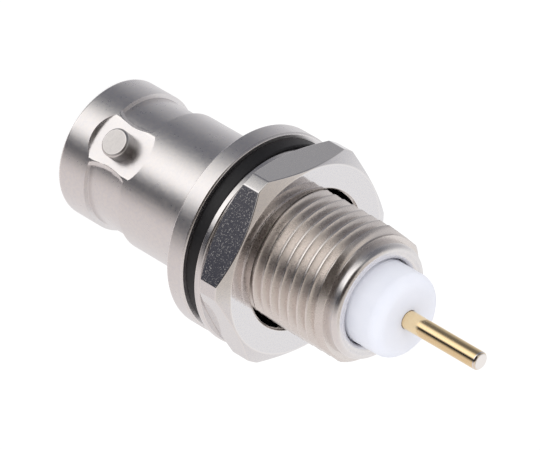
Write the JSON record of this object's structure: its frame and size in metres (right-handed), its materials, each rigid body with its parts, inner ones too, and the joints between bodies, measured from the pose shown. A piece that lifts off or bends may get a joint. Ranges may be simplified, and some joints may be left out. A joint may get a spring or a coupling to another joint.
{
  "type": "bulkhead bnc connector",
  "caption": "Bulkhead coaxial jack with a bayonet barrel, flange, flatted threaded shank, gasket, washer, hex nut, white insulator and a gold solder pin.",
  "frame": {"origin": "on the connector's axis, at the rim of the mating end", "axes": "+Z along the axis from the mating rim to the solder pin; the two bayonet lugs lie along Y and the shank's flats face X"},
  "size_m": [0.0146, 0.0144, 0.0335],
  "materials": {
    "body": "satin nickel plate",
    "gasket": "matte",
    "washer": "satin nickel plate",
    "nut": "bright nickel plate",
    "insulator": "waxy white fluoropolymer",
    "contact": "polished gold plate"
  },
  "bodies": {
    "jack": {"body": "body", "gasket": "gasket", "front_insulator": "insulator", "rear_insulator": "insulator", "centre_contact": "contact"},
    "washer": {"washer": "washer"},
    "nut": {"hex_nut": "nut"}
  },
  "joints": [
    {"name": "washer_slide", "type": "slide", "parent": "jack", "child": "washer", "axis": [0, 0, 1], "range_m": [0, 0.00695]},
    {"name": "nut_spin", "type": "hinge", "parent": "washer", "child": "nut", "pos_m": [0, 0, 0.0168], "axis": [0, 0, 1], "range_deg": [0, 3150]}
  ],
  "couplings": [
    {"joint": "washer_slide", "follows": "nut_spin", "m_per_rad": 0.00012637}
  ]
}
